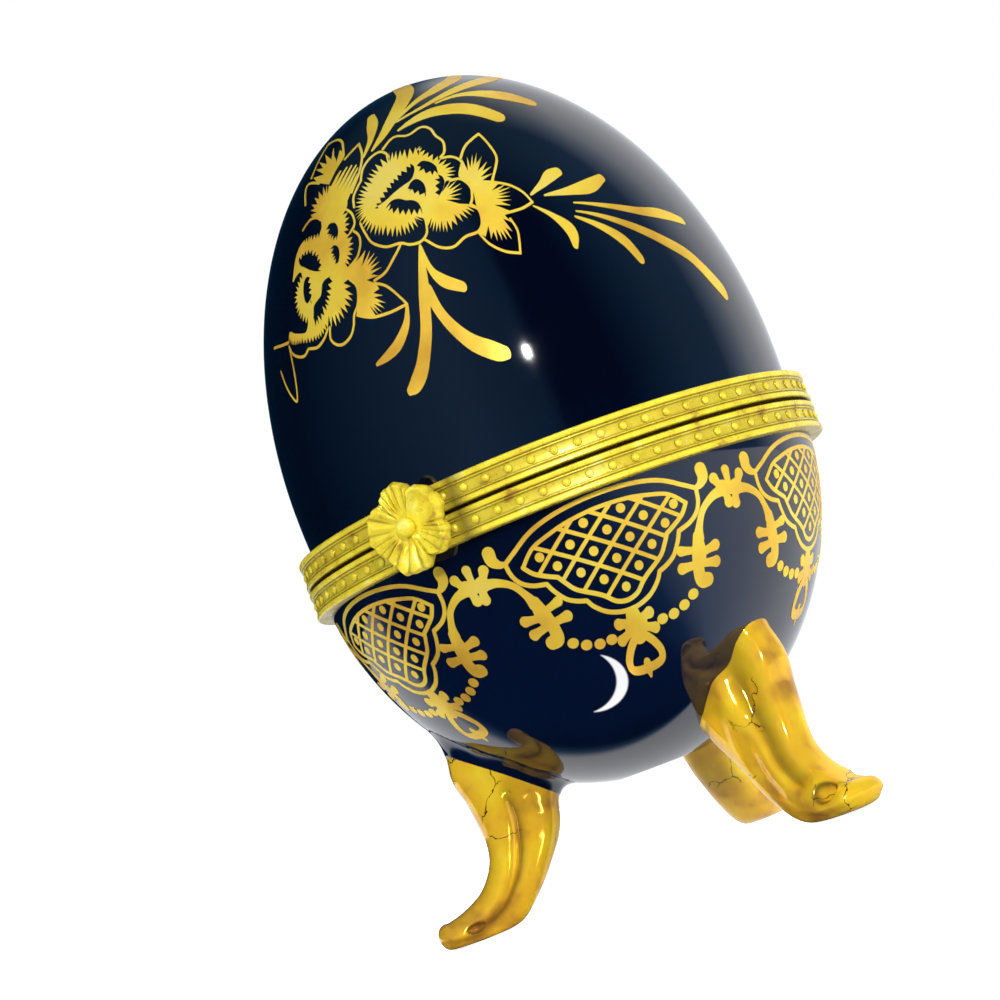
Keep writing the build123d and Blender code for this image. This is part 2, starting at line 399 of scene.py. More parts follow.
def gold_lustre():
    """Mirror gold on the feet, mottled brown to yellow by a noise as painted reflection, with a few fine
    dark cracks and painted shade in the flutes, round the toe hollows and on the backs of the legs under
    the bowl.
    """
    material, tree, shader = new_material("gold_lustre")
    wander = [(noise(tree, 420, output="Color"), 0), (place_of(tree), 2)]
    shifted = add_node(tree, "VectorMath", wander, operation="MULTIPLY_ADD")
    shifted.inputs[1].default_value = [3.5 * mm] * 3
    grain = [(shifted.outputs["Vector"], "Vector")]
    cells = add_node(tree, "TexVoronoi", grain, feature="DISTANCE_TO_EDGE", scale=130.0)
    crack = ramp(tree, cells.outputs["Distance"], [(0.004, (1, 1, 1)), (0.009, (0, 0, 0))])
    where = ramp(tree, noise(tree, 110, 2.0), [(0.58, (0, 0, 0)), (0.61, (1, 1, 1))])
    cracked = add_node(tree, "Math", [(crack, 0), (where, 1)], operation="MULTIPLY")
    # Noise mottle from brown to bright yellow: painted reflection
    gold = ramp(tree, noise(tree, 210), [
        (0.3, (0.50, 0.24, 0.03)),
        (0.45, (0.86, 0.475, 0.025)),
        (0.6, (0.93, 0.59, 0.02)),
        (0.75, (0.97, 0.70, 0.05)),
    ])
    marked = tinted(tree, cracked.outputs["Value"], gold, (0.05, 0.025, 0.006))
    shaded = darkened_by_shade_and_tarnish(tree, marked, (0.10, 0.045, 0.006))
    shader.inputs["Metallic"].default_value = 0.4
    finish(tree, shader, shaded, 500, (0.07, 0.15), (260, 2.0, 0.12, 0.08))
    return material


glaze = cobalt_glaze()
printed = gold_print()
brass = gilt_brass()
lustre = gold_lustre()


# Porcelain


def ellipse_arc(radius, rise, centre, start, end, count):
    """Profile points on an ellipse about the axis, from angle to angle above its belly."""
    turns = [math.radians(mix(start, end, k / (count - 1))) for k in range(count)]
    return [(radius * math.cos(t), centre + rise * math.sin(t)) for t in turns]


def bowl_radius_at(height):
    """Radius of the bowl's outer surface at a height."""
    return bowl_radius * math.sqrt(max(0, 1 - ((bowl_centre - height) / bowl_depth) ** 2))


def make_bowl():
    """Bowl with its ground flat, its neck and its plain glazed hollow."""
    lowest = -math.degrees(math.asin((bowl_depth - bowl_flat) / bowl_depth))
    highest = -math.degrees(math.asin((bowl_centre - base_rim_low.z) / bowl_depth))
    edge = bowl_high.z
    hollow_radius = bowl_radius - wall
    hollow_depth = bowl_depth - bowl_flat - wall
    brim = -math.degrees(math.asin((bowl_centre - edge) / hollow_depth))
    profile = [(0, bowl_low.z)]
    profile += ellipse_arc(bowl_radius, bowl_depth, bowl_centre, lowest, highest, 72)
    profile += [(neck_radius, base_rim_low.z), (neck_radius, edge)]
    profile += ellipse_arc(hollow_radius, hollow_depth, bowl_centre, brim, -89, 48)
    profile += [(0, bowl_centre - hollow_depth)]
    bowl = make_object("bowl", *lathe(profile), glaze)
    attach(bowl, "base")
    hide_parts("base_bowl")


def make_dome():
    """Dome with its drawn-in skirt, its neck and its plain glazed hollow."""
    bore = dome_radius - wall
    edge = dome_low.z
    profile = [(bore, edge), (neck_radius, edge), (neck_radius, lid_rim_high.z)]
    profile += curve(
        [(skirt_radius, lid_rim_high.z), (dome_radius - 0.05, mix(lid_rim_high.z, belly, 0.5)),
         (dome_radius, belly)], 12
    )
    profile += ellipse_arc(dome_radius, dome_rise, belly, 1, 89, 88)
    profile += [(0, dome_high.z)]
    hollow = ellipse_arc(bore, dome_rise - wall, belly, 0, 89, 60)
    profile += [(0, dome_high.z - wall)] + hollow[::-1]
    dome = make_object("dome", *lathe(profile), glaze)
    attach(dome, "lid")
    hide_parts("lid_dome")


make_bowl()
make_dome()


# Rims: steps up the outer wall as heights, insets and darkening, which is painted shade at both edges
# and tarnish and painted shade in the fine lines. A broad ridge, a fine line, the bead band, a line and
# a thin ridge.
rim_steps = [
    (0.00, 0.30, 1.0), (0.08, 0.10, 0.3), (0.16, 0.00, 0.0), (0.45, 0.00, 0.0), (0.58, 0.05, 0.1),
    (0.66, 0.18, 0.7), (0.72, 0.20, 0.8), (0.77, 0.12, 0.3), (0.86, 0.12, 0.1), (0.93, 0.28, 0.7),
    (1.10, 0.32, 0.3), (1.90, 0.32, 0.3), (2.07, 0.28, 0.7), (2.14, 0.12, 0.1), (2.23, 0.12, 0.3),
    (2.28, 0.20, 0.8), (2.34, 0.18, 0.7), (2.42, 0.05, 0.1), (2.55, 0.00, 0.0), (2.84, 0.00, 0.0),
    (2.95, 0.08, 0.1), (3.00, 0.22, 0.5),
]


def bead(points, faces, shade_and_tarnish, azimuth, height):
    """Low round boss on the bead band with painted shade round its foot, added to the points, faces and
    darkening.
    """
    rows = len(bead_painted_shade)
    columns = 12
    start = len(points)
    for row, level in enumerate(bead_painted_shade):
        lean = math.radians(90 * row / rows)
        ring = bead_radius * math.cos(lean)
        stand = bead_seat + bead_stand * math.sin(lean)
        for column in range(columns):
            turn = 2 * math.pi * column / columns
            side = math.degrees(ring * math.cos(turn) / rim_radius)
            points.append(around(stand, azimuth + side, height + ring * math.sin(turn)))
            shade_and_tarnish.append(level)
    last = len(points) - columns
    top = len(points)
    points.append(around(bead_seat + bead_stand, azimuth, height))
    shade_and_tarnish.append(0)
    faces += quads(start, rows, columns)
    faces += [[last + column, last + (column + 1) % columns, top] for column in range(columns)]
    faces.append([start + column for column in reversed(range(columns))])


def make_rim(name, node, body, bottom, up, bore):
    """Ridged rim with its row of beads, from its outer wall's foot and the profile of its bore."""
    segments = 192
    scale = up * rim_height / rim_steps[-1][0]
    profile = [(rim_radius - inset, bottom + scale * step) for step, inset, _ in rim_steps] + bore
    points, faces = lathe(profile, segments)
    # Darkening of each point: painted shade and tarnish from the steps, the darker bore and the dark
    # patch beside the clasp
    levels = [level for _, _, level in rim_steps] + [bore_darkening] * len(bore)
    offsets = [(360 * k / segments - dark_patch_azimuth) / dark_patch_width for k in range(segments)]
    shade_and_tarnish = [max(level, dark_patch_depth * bell(offset)) for level in levels for offset in offsets]
    for index in range(bead_count):
        bead(points, faces, shade_and_tarnish, 360 * (index + 0.5) / bead_count, bottom + up * rim_height / 2)
    ring = make_object(name, points, faces, brass, shade_and_tarnish=shade_and_tarnish)
    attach(ring, body)
    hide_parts(node)


make_rim("rim_of_base", "base_rim", "base", base_top, -1, [
    (neck_radius + glue_gap, base_rim_low.z),
    (neck_radius + glue_gap, bowl_high.z),
    (lip_bore, bowl_high.z),
    (lip_bore, base_rim_high.z),
    (lip_radius, base_rim_high.z),
    (lip_radius, base_top),
])
make_rim("rim_of_lid", "lid_rim", "lid", lid_rim_low.z, 1, [
    (neck_radius + glue_gap, lid_rim_high.z),
    (neck_radius + glue_gap, dome_low.z),
    (rim_bore, dome_low.z),
    (rim_bore, lid_rim_low.z),
])


# Gilding


def strip(rows):
    """Spots and tiles of a band of rows, each row running straight across the band."""
    spans = 1 + math.floor(max(math.dist(a, b) for a, b in rows) / widest_tile)
    spots = [mix(left, right, k / spans) for left, right in rows for k in range(spans + 1)]
    tiles = []
    for row in range(len(rows) - 1):
        for k in range(spans):
            here = row * (spans + 1) + k
            tiles.append([here, here + 1, here + spans + 2, here + spans + 1])
    return spots, tiles


def stroke(points):
    """Brush stroke along (x, y, width) points, round at both ends."""
    thinnest = 0.1
    per_span = 6
    count = per_span * (len(points) - 1) + 1
    spine = curve(points, count)
    rows = []
    for index, (x, y, width) in enumerate(spine):
        x0, y0, _ = spine[max(index - 1, 0)]
        x1, y1, _ = spine[min(index + 1, count - 1)]
        length = math.hypot(x1 - x0, y1 - y0)
        ahead = ((x1 - x0) / length, (y1 - y0) / length)
        half = max(width, thinnest) / 2
        leans = [0]
        if index == 0:
            leans = [-82, -60, -40, -20, 0]
        elif index == count - 1:
            leans = [0, 20, 40, 60, 82]
        for lean in leans:
            along = half * math.sin(math.radians(lean))
            wide = half * math.cos(math.radians(lean))
            middle = (x + ahead[0] * along, y + ahead[1] * along)
            rows.append(((middle[0] - ahead[1] * wide, middle[1] + ahead[0] * wide),
                         (middle[0] + ahead[1] * wide, middle[1] - ahead[0] * wide)))
    return strip(rows)


def line(points, width=line_width):
    """Thin outline along the points."""
    return stroke([(x, y, width) for x, y in points])


def lobe(base, end, width):
    """Short brush mark with a round fat end."""
    middle = mix(base, end, 0.6)
    return stroke([(*base, 0.75 * width), (*middle, 0.85 * width), (*end, 1.1 * width)])


def disc(centre, wide, tall):
    """Round dot."""
    rows = []
    for lean in range(-78, 79, 26):
        across = wide * math.cos(math.radians(lean))
        level = centre[1] + tall * math.sin(math.radians(lean))
        rows.append(((centre[0] - across, level), (centre[0] + across, level)))
    return strip(rows)


def inside(outline, x, y):
    """True where a point lies inside a closed outline."""
    crossed = False
    for (x0, y0), (x1, y1) in zip(outline, outline[1:] + outline[:1]):
        if (y0 > y) != (y1 > y) and x < x0 + (y - y0) / (y1 - y0) * (x1 - x0):
            crossed = not crossed
    return crossed


def toothed(runs):
    """Closed outline from runs of points, each from the end of the one before it. A plain run is
    its points. A toothed one is its points, teeth and depth, and teeth may point at a focus."""
    runs = [run if isinstance(run, tuple) else (run, 0, 0) for run in runs]
    per_span = 4
    sampled = []
    start = runs[-1][0][-1]
    for points, teeth, depth, *focus in runs:
        spots = [start] + points
        start = spots[-1]
        count = 2 * teeth + 1 if teeth else per_span * len(points) + 1
        sampled.append((curve(spots, count), teeth, depth, focus))
    plain = [spot for spots, *_ in sampled for spot in spots[:-1]]
    area = sum(a[0] * b[1] - b[0] * a[1] for a, b in zip(plain, plain[1:] + plain[:1]))
    side = math.copysign(1, area)
    outline = []
    for spots, teeth, depth, focus in sampled:
        for k, (x, y) in enumerate(spots[:-1]):
            if teeth and k % 2 == 1:
                (x0, y0), (x1, y1) = spots[k - 1], spots[k + 1]
                inward = (side * (y0 - y1), side * (x1 - x0))
                if focus:
                    inward = (focus[0][0] - x, focus[0][1] - y)
                reach = depth * (0.75 + 0.4 * abs(math.sin(2.3 * k))) / math.hypot(*inward)
                x, y = x + inward[0] * reach, y + inward[1] * reach
            outline.append((x, y))
    return outline


def patch(loops):
    """Spots and tiles of the area inside the first loop of runs and outside the others."""
    borders = [toothed(runs) for runs in loops]
    spots = []
    edges = []
    for border in borders:
        start = len(spots)
        spots += border
        edges += [(start + k, start + (k + 1) % len(border)) for k in range(len(border))]
    xs = [x for x, y in borders[0]]
    ys = [y for x, y in borders[0]]
    for column in range(int((max(xs) - min(xs)) / patch_step)):
        for row in range(int((max(ys) - min(ys)) / patch_step)):
            spot = (min(xs) + (column + 0.5) * patch_step, min(ys) + (row + 0.5) * patch_step)
            if inside(borders[0], *spot):
                spots.append(spot)
    made = geometry.delaunay_2d_cdt([Vector(spot) for spot in spots], edges, [], 0, 1e-5)
    spots = [tuple(spot) for spot in made[0]]
    tiles = []
    for tile in made[2]:
        x = sum(spots[k][0] for k in tile) / len(tile)
        y = sum(spots[k][1] for k in tile) / len(tile)
        if sum(inside(border, x, y) for border in borders) % 2 == 1:
            tiles.append(list(tile))
    used = sorted({k for tile in tiles for k in tile})
    order = {k: place for place, k in enumerate(used)}
    return [spots[k] for k in used], [[order[k] for k in tile] for tile in tiles]


def gild(name, body, pieces, place):
    """Thin closed film of gold on a surface, one patch for each piece of spots and tiles."""
    points = []
    faces = []
    for index, (spots, tiles) in enumerate(pieces):
        lift = gold_lift + gold_lift_step * (index % gold_lifts)
        top = len(points)
        bottom = top + len(spots)
        placed = [place(*spot) for spot in spots]
        points += [spot + out * lift for spot, out in placed]
        points += [spot - out * gold_sink for spot, out in placed]
        rim = {}
        for tile in tiles:
            faces.append([top + k for k in tile])
            faces.append([bottom + k for k in reversed(tile)])
            for a, b in zip(tile, tile[1:] + tile[:1]):
                edge = frozenset((a, b))
                rim[edge] = None if edge in rim else (a, b)
        for a, b in filter(None, rim.values()):
            faces.append([top + b, top + a, bottom + a, bottom + b])
    film = make_object(name, points, faces, printed, sharp=80)
    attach(film, body)


def surface_point(azimuth, radius, height, slope_out, slope_up):
    """Point and outward direction on a turned surface."""
    out_x, out_y, _ = around(1, azimuth, 0)
    spot = Vector((out_x * radius, out_y * radius, height))
    return spot, Vector((out_x * slope_out, out_y * slope_out, slope_up)).normalized()


def on_bowl(azimuth, tilt):
    """Chart of the bowl: millimetres to the right of an azimuth, and height, a little tilted."""
    def place(u, height):
        height = height + u * math.tan(math.radians(tilt))
        radius = bowl_radius_at(height)
        turn = azimuth + math.degrees(u / band_chart_radius)
        slope_up = (height - bowl_centre) / bowl_depth**2
        return surface_point(turn, radius, height, radius / bowl_radius**2, slope_up)
    return place


# Lengths down the dome from its crown, by angle
crown_step = math.radians(1 / 4)
crown_angles = [math.radians(k / 4) for k in range(361)]
crown_lengths = [0.0]
for crown_angle in crown_angles[1:]:
    midway = crown_angle - crown_step / 2
    slope = math.hypot(dome_radius * math.cos(midway), dome_rise * math.sin(midway))
    crown_lengths.append(crown_lengths[-1] + slope * crown_step)


def on_lid(turn):
    """Chart of the lid: millimetres from the crown, to the right and down towards an azimuth."""
    def place(u, v):
        length = min(math.hypot(u, v), crown_lengths[-1])
        index = min(bisect.bisect(crown_lengths, length), len(crown_lengths) - 1)
        share = (length - crown_lengths[index - 1]) / (crown_lengths[index] - crown_lengths[index - 1])
        angle = mix(crown_angles[index - 1], crown_angles[index], share)
        azimuth = spray_azimuth + turn + math.degrees(math.atan2(u, v))
        return surface_point(
            azimuth,
            dome_radius * math.sin(angle),
            belly + dome_rise * math.cos(angle),
            math.sin(angle) / dome_radius,
            math.cos(angle) / dome_rise,
        )
    return place


# Band of the bowl: one lattice cartouche with its scrolls and swags, repeated round the bowl.
# Points are millimetres to the left of its middle, and heights.
cell_half_width = 1.92
cell_half_height = 1.42
cell_centre = (0.25, 33.7)
dot_size = 0.47
fine_width = 0.4
edge_width = 0.45
lattice_low = 26.4
lattice_high = 36.2
lattice_left = -6.8
lattice_right = 7.4
outer_arch = [(-10.2, 34.4), (-8.9, 35.1), (-7.1, 36.1), (-5.3, 36.7), (-2.9, 37.1), (0, 37.25)]
outer_scallops = [
    [(-10.2, 34.4), (-10.1, 33.2), (-9.6, 32.2), (-8.6, 31.5), (-7.2, 31.1)],
    [(-7.2, 31.1), (-6.8, 30.2), (-6.0, 29.1), (-5.0, 28.5), (-4.1, 28.2)],
    [(-4.1, 28.2), (-3.6, 27.4), (-2.5, 26.5), (-1.1, 26.0), (0, 25.9)],
]
inner_arch = [(-8.7, 33.4), (-7.2, 34.7), (-5.4, 35.3), (-3.0, 35.8), (0, 36.0)]
inner_scallops = [
    [(-8.7, 33.4), (-8.0, 32.5), (-6.9, 31.8), (-5.9, 31.3)],
    [(-5.9, 31.3), (-5.4, 30.5), (-4.6, 29.5), (-2.8, 28.4)],
    [(-2.8, 28.4), (-2.1, 27.9), (-1.2, 27.1), (0, 26.8)],
]
# Strokes, whose points are followed by a width
scroll_strokes = [
    [(-11.3, 36.0, 1.3), (-11.3, 35.2, 1.2), (-10.8, 34.6, 0.8), (-10.2, 34.4, 0.5)],
    [(-13.3, 33.4, 1.2), (-11.8, 33.1, 0.85), (-10.4, 32.2, 0.7), (-9.6, 30.9, 0.8), (-9.2, 29.8, 1.3)],
    [(-9.1, 30.0, 1.1), (-8.9, 28.4, 1.7), (-8.5, 27.0, 1.35), (-8.7, 26.0, 1.5), (-9.5, 25.8, 1.3)],
    [(-14.1, 33.4, 0.9), (-13.3, 33.5, 1.7), (-12.6, 33.3, 1.0)],
]
scroll_lobes = [
    ((-13.1, 33.6), (-12.5, 34.7), 1.0),
    ((-13.5, 33.3), (-13.7, 32.1), 1.05),
    ((-9.4, 28.4), (-11.0, 28.65), 1.0),
    ((-8.6, 28.8), (-6.9, 29.2), 0.9),
    ((-9.2, 27.4), (-10.8, 27.15), 1.0),
    ((-8.4, 27.5), (-6.6, 27.6), 1.0),
    ((-0.6, 24.7), (-1.8, 24.95), 1.05),
    ((-0.6, 24.0), (-2.1, 23.4), 1.0),
]
swag_bead_size = (0.66, 0.5)
swag_beads = [(-7.35, 25.0), (-6.05, 24.35), (-4.6, 23.95), (-3.15, 23.9)]
heart = [(-0.9, 22.9), (-1.55, 22.2), (-2.15, 21.2), (-2.0, 20.4), (-1.0, 20.1), (0, 20.1)]
heart_width = 0.85


def flip(points):
    """Points mirrored left to right."""
    return [(-x, *rest) for x, *rest in points]


def whole(points):
    """Points and their mirror image, as one line through the middle."""
    return points + flip(points)[-2::-1]


def lattice(outline):
    """Crossing lines clipped to the outline, with a dot in each cell."""
    pieces = []
    steps = 260
    least_clear = 0.45
    middle, level = cell_centre
    for lean in (-1, 1):
        for number in range(-15, 16, 2):
            run = []
            for step in range(steps + 1):
                height = mix(lattice_low, lattice_high, step / steps)
                u = middle + cell_half_width * (number + lean * (height - level) / cell_half_height)
                if inside(outline, u, height):
                    run.append((u, height))
                    continue
                if run:
                    half = mix(run[0], run[-1], 0.5)
                    if min(math.dist(half, spot) for spot in outline) > least_clear:
                        pieces.append(line([run[0], half, run[-1]], fine_width))
                run = []
    for row in range(-5, 3):
        for column in range(-5, 6):
            u = min(max(middle + column * cell_half_width, lattice_left), lattice_right)
            spot = (u, level + row * cell_half_height)
            clear = min(math.dist(spot, edge) for edge in outline)
            if (row + column) % 2 == 0 and inside(outline, *spot) and clear > dot_size + 0.1:
                pieces.append(disc(spot, dot_size, dot_size))
    return pieces


def band_pieces():
    """All the pieces of one repeat of the band."""
    pieces = [line(whole(outer_arch), edge_width), line(whole(inner_arch), fine_width)]
    for scallop in outer_scallops[:2] + inner_scallops[:2]:
        pieces += [line(scallop, edge_width), line(flip(scallop), edge_width)]
    for scallop in (outer_scallops[2], inner_scallops[2]):
        pieces.append(line(whole(scallop), edge_width))
    half = curve(inner_arch[::-1], 21) + [spot for run in inner_scallops for spot in curve(run, 13)]
    pieces += lattice(half + flip(half)[::-1])
    for points in scroll_strokes:
        pieces += [stroke(points), stroke(flip(points))]
    for base, end, width in scroll_lobes:
        pieces += [lobe(base, end, width), lobe(*flip([base, end]), width)]
    for u, height in swag_beads:
        pieces += [disc((side, height), *swag_bead_size) for side in (u, -u)]
    end = -math.pi * band_chart_radius / band_repeats
    pieces.append(lobe((end, 33.6), (end, 35.4), 0.9))
    pieces.append(stroke([(0, 25.3, 1.6), (0, 24.4, 2.7), (0, 23.5, 2.1)]))
    pieces += [line(heart, heart_width), line(flip(heart), heart_width)]
    pieces.append(stroke([(0, 20.6, 0.9), (0, 19.9, 0.9), (0, 19.3, 0.4)]))
    return pieces


# Spray of the lid: two peonies with leaves and brushed fronds. Points are millimetres to the
# right of the crown and down from it, and a frond's have a width too.
fronds = [
    [(-12.5, 39.8, 0.5), (-14, 41.1, 1), (-16.7, 41.7, 1.3), (-19.3, 41.3, 1), (-21.6, 40.5, 0.4)],
    [(-6.6, 35.5, 0.4), (-7.8, 37.85, 1.2), (-9.25, 40.2, 1.7), (-11.8, 43.5, 1.8), (-15.1, 45.7, 2.0),
     (-17.6, 46.2, 1.8), (-19.3, 46.0, 0.9)],
    [(-8.5, 40.2, 1.6), (-8.3, 42.8, 1.5), (-7.3, 45.3, 1.7), (-5.4, 47.7, 2), (-2.5, 49.5, 2.1),
     (-0.8, 50.1, 1.4)],
    [(-6.6, 35.5, 0.4), (-6.7, 38.4, 0.9), (-5.6, 40.4, 1.5), (-3.3, 42, 1.2)],
    [(10.9, 33.1, 0.3), (12.8, 31.5, 0.9), (14.2, 30, 1.5), (15.4, 29.1, 1.2)],
    [(12.8, 33, 0.25), (16.2, 31.7, 1.0), (19.4, 29.8, 1.8), (21.6, 27.3, 1.1)],
    [(16.8, 33.1, 0.2), (21.6, 31.6, 0.6), (26.5, 29.3, 1), (30.5, 26.2, 1.4), (34.3, 22.9, 1.0)],
    [(16.9, 34.2, 0.2), (24.1, 32.8, 0.9), (30.2, 31, 1.4), (35.1, 29, 1.7), (38.8, 28.1, 2.2),
     (41.6, 27.3, 2.3)],
    [(16.6, 35, 0.3), (20.6, 35.1, 1), (23.8, 35.5, 1.6), (26, 36.6, 1.4)],
    [(10.8, 34.6, 0.2), (13.3, 35.6, 0.8), (15.4, 37, 1.8), (15.6, 38.8, 0.9)],
    [(-7.9, 20.1, 0.3), (-6.2, 18.3, 0.8), (-5.2, 15.9, 1.5), (-4.8, 13.6, 1.0)],
    [(-6.6, 20.2, 0.3), (-4.4, 18.75, 1.2), (-1.8, 15.7, 1.9), (-0.25, 12.4, 2.1), (-0.15, 9.1, 2.1),
     (-0.5, 6.3, 1.6)],
    [(-2.9, 18.1, 0.25), (0.6, 15.4, 0.8), (3.25, 13.5, 1.5), (5.4, 10.6, 1.8), (6.1, 6.9, 1.4)],
    [(-2.4, 18, 0.3), (1.5, 17, 0.6), (5.9, 14.2, 1.3), (9.15, 10.9, 1.8), (10.5, 7.4, 1.4)],
    [(2.6, 17.2, 0.2), (5.9, 16.1, 0.8), (10.2, 16.1, 2.2), (13.8, 16.6, 1.6)],
    [(-2.7, 19.7, 0.3), (1.5, 18.9, 1.6), (5.9, 19.4, 2.2), (9.3, 21.2, 1.9)],
    [(-13.2, 19.6, 0.8), (-12, 19, 0.5), (-11.2, 18.7, 0.2)],
    [(-13.2, 20.4, 0.8), (-11.6, 19.7, 0.5), (-10.3, 19.2, 0.2)],
    [(-13.2, 21.2, 0.8), (-11.2, 20.4, 0.5), (-9.7, 19.7, 0.2)],
    [(-13.2, 22, 0.8), (-11, 21.1, 0.5), (-9.2, 20.3, 0.2)],
    [(-13, 22.7, 0.8), (-11, 21.8, 0.5), (-9.2, 20.9, 0.2)],
    [(-12.6, 23.2, 0.8), (-11, 22.5, 0.5), (-9.6, 21.7, 0.2)],
]
outlines = [
    # Right peony
    [(-12.1, 25.2), (-11.5, 24), (-10.3, 23.3), (-9.6, 23)],
    [(-9.6, 22.9), (-8.7, 21.7), (-7.4, 21.1), (-6, 21.2), (-5.3, 22.1), (-5.2, 22.9)],
    [(-5.4, 21.2), (-3.6, 20.4), (-1.9, 21.3), (-0.1, 20.9), (0.9, 21.7), (1.2, 23.1), (1.8, 24.4),
     (1.5, 25.9), (0.8, 26.5)],
    [(0.9, 26.7), (2.1, 26.9), (3, 27.7), (3.1, 28.8), (2.3, 29.8)],
    [(0.8, 30), (2.2, 30.2), (3.1, 31.5), (2.8, 32.9), (2.3, 33.6)],
    [(2.3, 33.6), (3.1, 34.6), (2.9, 36.1), (1.9, 37), (-0.1, 37.1), (-2.2, 37.6), (-4.1, 36.9),
     (-5.6, 35.2)],
    [(-12.5, 27.7), (-12.6, 29.2), (-12.4, 30.9), (-11, 32.7), (-8.9, 33.7), (-7.8, 34.6),
     (-6.3, 35.1), (-5, 34.7), (-4.4, 33.4), (-4.4, 32.6)],
    # Left peony
    [(-31.6, 22.6), (-31.9, 23.9), (-31.5, 25.6), (-30.6, 27.2), (-29.4, 27.9)],
    [(-29.2, 28.2), (-28, 29.9), (-26.4, 30.8), (-24.9, 31)],
    [(-24.5, 31.3), (-25.5, 32), (-25.3, 33.3), (-24.3, 34.5), (-22.6, 35.2), (-21.3, 35),
     (-20.3, 34.4), (-18.8, 34.1), (-17.6, 32.8), (-17.9, 31.2)],
    [(-17.1, 30.2), (-15.3, 30.4), (-14, 29.7), (-13.5, 28.7), (-13.8, 27.6)],
    [(-14.4, 27.3), (-13.2, 27), (-12.8, 25.7), (-13.1, 24.5)],
    [(-19.4, 18.4), (-17.9, 19), (-17, 20.2), (-16.7, 21.3)],
    # Leaves
    [(3.2, 27.4), (4.3, 25.8), (6.4, 24.2)],
    [(6.4, 24.2), (7.2, 25.9), (7.7, 27.8), (7.3, 29.2), (6.2, 31.2)],
    [(6.2, 31.4), (8.2, 31.9), (9.8, 32.8), (10.8, 34.1)],
    [(10.8, 34.1), (9, 35), (6.5, 35.5)],
    [(1.9, 37), (2.9, 38.7), (4.8, 39.9), (6.9, 40.3)],
    [(6.9, 40.3), (7.5, 37.8), (7, 36.2)],
    [(-15, 34.7), (-13.6, 36.4), (-12.3, 39.6)],
    [(-19.9, 34.8), (-18.8, 36.2), (-17.4, 37.4), (-15, 38.7), (-12.3, 39.6)],
    [(-14.9, 34.4), (-12.8, 34.9), (-10.3, 34.3), (-9, 33.8)],
    [(-31.6, 22.6), (-33.4, 24.4), (-35.5, 25.6), (-36.8, 25.4), (-36.6, 22.6), (-35.4, 19.9)],
    [(-33.6, 16.8), (-32.4, 20), (-31.3, 22.2)],
    [(-10, 17.6), (-7.6, 17.3)],
    [(-7.6, 17.3), (-8, 19.8), (-9.4, 21.8), (-11.4, 23.2)],
    [(-9.9, 16.8), (-9.2, 14), (-9.5, 11.8), (-10.6, 9.8)],
    [(-10.6, 9.8), (-12.5, 11.2), (-14.6, 12.9)],
    [(-14.2, 16.2), (-15.6, 13), (-17.2, 15.8)],
]
right_peony = [
    # Outer edge
    [
        ([(-12.4, 25.9), (-11.5, 24.8), (-10.4, 24), (-9, 23.4), (-7.6, 22.7), (-5.4, 22.3),
          (-4.2, 22.7), (-2.8, 23.3), (-1.1, 23.8)], 24, 1.3),
        ([(-0.4, 25.2), (0.9, 26.6)], 6, 0.8),
        ([(1.6, 27.4), (2, 28.4), (1.9, 29.2), (1.2, 29.8)], 6, 1.1, (-1.5, 28.5)),
        [(0.2, 29.9)],
        ([(1.6, 30.1), (2, 31.1), (1.5, 32.2), (0.9, 33.2)], 7, 1.7, (-1.5, 31.7)),
        [(2.3, 33.7), (2.8, 34.4)],
        ([(1.8, 35), (0.1, 35.4), (-1.9, 35.8), (-3, 35.4), (-4, 34.9),
          (-4.4, 34)], 13, 1.2, (-1, 31.3)),
        [(-4.5, 32.9)],
        ([(-5.2, 33.4), (-6.6, 33.5), (-8, 33.2), (-9.2, 32.6), (-10.4, 31.5), (-11.4, 30.6),
          (-12.2, 29.3), (-12.5, 28.1), (-12.6, 27)], 19, 1.2),
    ],
    # Dark slots
    [
        ([(-8.2, 26.9), (-6.5, 26.3), (-4.9, 25.9), (-3.1, 25.5)], 10, 0.65),
        [(-2.8, 26.2), (-3.1, 27), (-3.9, 27.7), (-5.2, 27.8), (-6.8, 27.9), (-8.2, 28), (-9.9, 27.7)],
    ],
    [
        [(-7.9, 28.6), (-7.1, 28.6), (-6.3, 29), (-5.6, 29.7), (-4.9, 30.1), (-4.3, 30.8), (-4.2, 31.7),
         (-4.4, 32.4)],
        ([(-5.4, 32), (-6.4, 31.4), (-7.4, 30.7), (-8.3, 29.7), (-8.6, 28.9)], 7, 0.75),
    ],
    [
        [(-3.9, 27.9), (-3.1, 28), (-2.6, 28.8), (-2.6, 29.8), (-3.1, 30.8)],
        ([(-3.7, 30.1), (-4.2, 29.6), (-4.9, 29), (-4.8, 28.5)], 4, 0.5),
    ],
    [
        [(-1.6, 26), (-0.7, 26.6), (-0.2, 27.5), (-0.3, 28.6)],
        ([(-1.1, 28.5), (-1.8, 27.9), (-2.5, 27.2), (-2.5, 26.3)], 4, 0.55),
    ],
    [
        [(0.1, 29.2), (0, 30.1), (-0.8, 31), (-1.9, 31.6)],
        ([(-1.7, 30.7), (-1.3, 29.9), (-1, 29.1), (-0.4, 28.6)], 4, 0.6),
    ],
]
